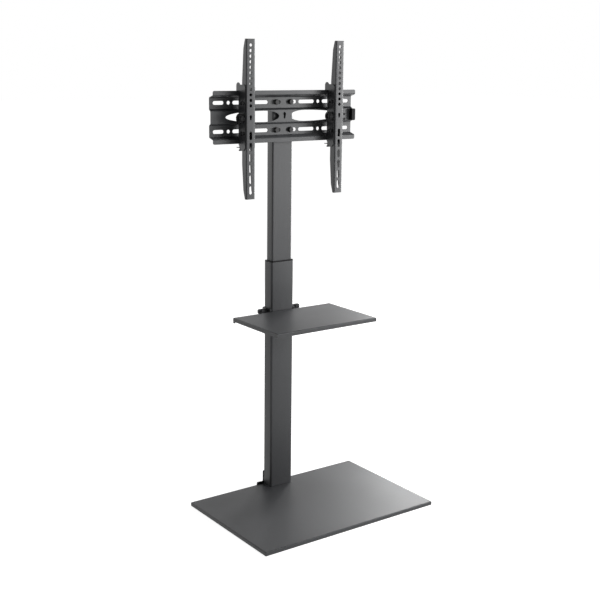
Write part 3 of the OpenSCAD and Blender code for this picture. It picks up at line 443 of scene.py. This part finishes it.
# %% Fasteners
HEAD_EDGE_MM = {
    "rail_bolts": 0.4, "rail_washers": 0.25, "rail_nut_inserts": 0.25, "height_screw_upper": 0.4,
    "height_screw_lower": 0.4, "shelf_clamp_nuts": 0.4, "foot_bracket_screws": 0.3, "base_bolts": 0.4,
    "left_tilt_bolt": 0.4, "right_tilt_bolt": 0.4, "left_tilt_washer": 0.25, "right_tilt_washer": 0.25,
    "left_knob_insert": 0.2, "right_knob_insert": 0.2,
}
for name, width in HEAD_EDGE_MM.items():
    show(clean_copy(name), name + "_machined", name, [name], width)
print("fasteners", len(HEAD_EDGE_MM))

# %% [markdown]
# ## Threads
# Threads are rolled into the screws, and the CAD has plain cylinders in their place. A true thread is a
# helix, which takes many faces. Here each shank is cut across at every half pitch, and every second ring
# of points is drawn in, which leaves ridges that the eye can't tell from a helix at this size.

# %% Helpers for threads
ALONG_Y, ALONG_Z = Vector((0, 1, 0)), Vector((0, 0, 1))
DEPTH_SHARE = 0.5                    # a thread's depth is about half its pitch
SHANK_ROOM = 0.3 * MM                # a face within this distance of the shank belongs to it
RING_ROOM = 0.15 * MM
CUT_ROOM = 1e-6
SNAP = 1e-7


def off_axis(vector, axis):
    """The part of a vector that lies square to an axis."""
    return vector - axis * vector.dot(axis)


def cut_thread(shape, axis, centre, radius, start, end, pitch):
    """Ridges on a shank whose axis runs through centre, between two places along that axis, in metres."""
    half = pitch / 2
    for i in range(1, round((end - start) / half)):
        cut = off_axis(centre, axis) + axis * (start + i * half)
        near = [face for face in shape.faces
                if all(off_axis(vert.co - centre, axis).length < radius + SHANK_ROOM for vert in face.verts)]
        verts = list(dict.fromkeys(vert for face in near for vert in face.verts))
        edges = list(dict.fromkeys(edge for face in near for edge in face.edges))
        bmesh.ops.bisect_plane(shape, geom=verts + edges + near, dist=SNAP, plane_co=cut, plane_no=axis)
        if i % 2:
            for vert in shape.verts:
                offset = vert.co - cut
                out = off_axis(offset, axis)
                if abs(offset.dot(axis)) < CUT_ROOM and abs(out.length - radius) < RING_ROOM:
                    vert.co -= out * (DEPTH_SHARE * pitch / radius)
    return shape


# %% Lock screws
THREAD_END = 0.3 * MM                # the plain tip past the last ridge
LOCK_RADIUS, LOCK_PITCH = 2.5 * MM, 0.8 * MM
LOCK_PLAIN = 5 * MM                  # head and neck, measured from the head's outer face

for side in SIDES:
    name = side + "_lock_screw"
    low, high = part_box(name)
    start, end = low.z + LOCK_PLAIN, high.z - THREAD_END
    screw = clean_copy(name)
    cut_thread(screw, ALONG_Z, (low + high) / 2, LOCK_RADIUS, start, end, LOCK_PITCH)
    show(screw, name + "_threaded", name, [name])
print("lock screws", len(SIDES))

# %% Bolts of the shelf's clamp
CLAMP_RADIUS, CLAMP_PITCH = 3 * MM, 1 * MM
CLAMP_HEAD_RADIUS = 5 * MM
CLAMP_PLAIN = 6.8 * MM               # head and neck, measured from the head's outer face

low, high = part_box("shelf_clamp_bolts")
start, end = low.y + CLAMP_PLAIN, high.y - THREAD_END
aside = high.x - CLAMP_HEAD_RADIUS
bolts = clean_copy("shelf_clamp_bolts")
for x in (-aside, aside):
    centre = Vector((x, 0, (low.z + high.z) / 2))
    cut_thread(bolts, ALONG_Y, centre, CLAMP_RADIUS, start, end, CLAMP_PITCH)
show(bolts, "shelf_clamp_bolts_threaded", "shelf_clamp_bolts", ["shelf_clamp_bolts"])
print("clamp bolts at x", round(-aside, 4), round(aside, 4))

# %% [markdown]
# ## Weld seam
# The block behind the tube that takes the two height screws is welded on before the coat is sprayed. The
# bead runs down both of its sides and along its lower end. Its ripples could be a bump in the material,
# but then its outline would stay straight, so rings that swell and shrink are bridged into a bead.

# %% Seam of the height screws' block
BEAD_RADIUS = 1.1 * MM
BEAD_RIPPLE = 2.4 * MM               # length of one ripple
RINGS_PER_RIPPLE = 4
RIPPLE_DEPTH_SHARE = 0.22
BEAD_END_SHARE = 0.5                 # a bead tapers to this share of its radius at both ends
AROUND = 8
STOPS_SHORT = 4 * MM                 # the bead ends this far below the block's top


def bead_radius(i, last):
    """The radius of the bead's ring number i: wider in the middle of a ripple, and tapered at the ends."""
    between = i % RINGS_PER_RIPPLE in (0, RINGS_PER_RIPPLE - 1)
    radius = BEAD_RADIUS * (1 - RIPPLE_DEPTH_SHARE * between)
    return radius * BEAD_END_SHARE if i in (0, last) else radius


def add_bead(shape, start, end):
    """A rippled bead along a straight run."""
    turn = (end - start).to_track_quat("Z", "Y").to_matrix().to_4x4()
    last = int((end - start).length / BEAD_RIPPLE) * RINGS_PER_RIPPLE
    before = None
    for i in range(last + 1):
        at = Matrix.Translation(start.lerp(end, i / last)) @ turn
        made = bmesh.ops.create_circle(shape, cap_ends=i in (0, last), segments=AROUND,
                                       radius=bead_radius(i, last), matrix=at)
        ring = list(dict.fromkeys(edge for vert in made["verts"] for edge in vert.link_edges))
        if before:
            bmesh.ops.bridge_loops(shape, edges=before + ring)
        before = ring


low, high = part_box("height_screw_boss")
top = high.z - STOPS_SHORT
corners = [Vector(point) for point in ((high.x, low.y, top), (high.x, low.y, low.z),
                                       (low.x, low.y, low.z), (low.x, low.y, top))]
weld = bmesh.new()
for start, end in zip(corners, corners[1:]):
    add_bead(weld, start, end)
bmesh.ops.recalc_face_normals(weld, faces=weld.faces)
show(weld, "boss_weld", "height_screw_boss")
print("seam of", len(corners) - 1, "runs")
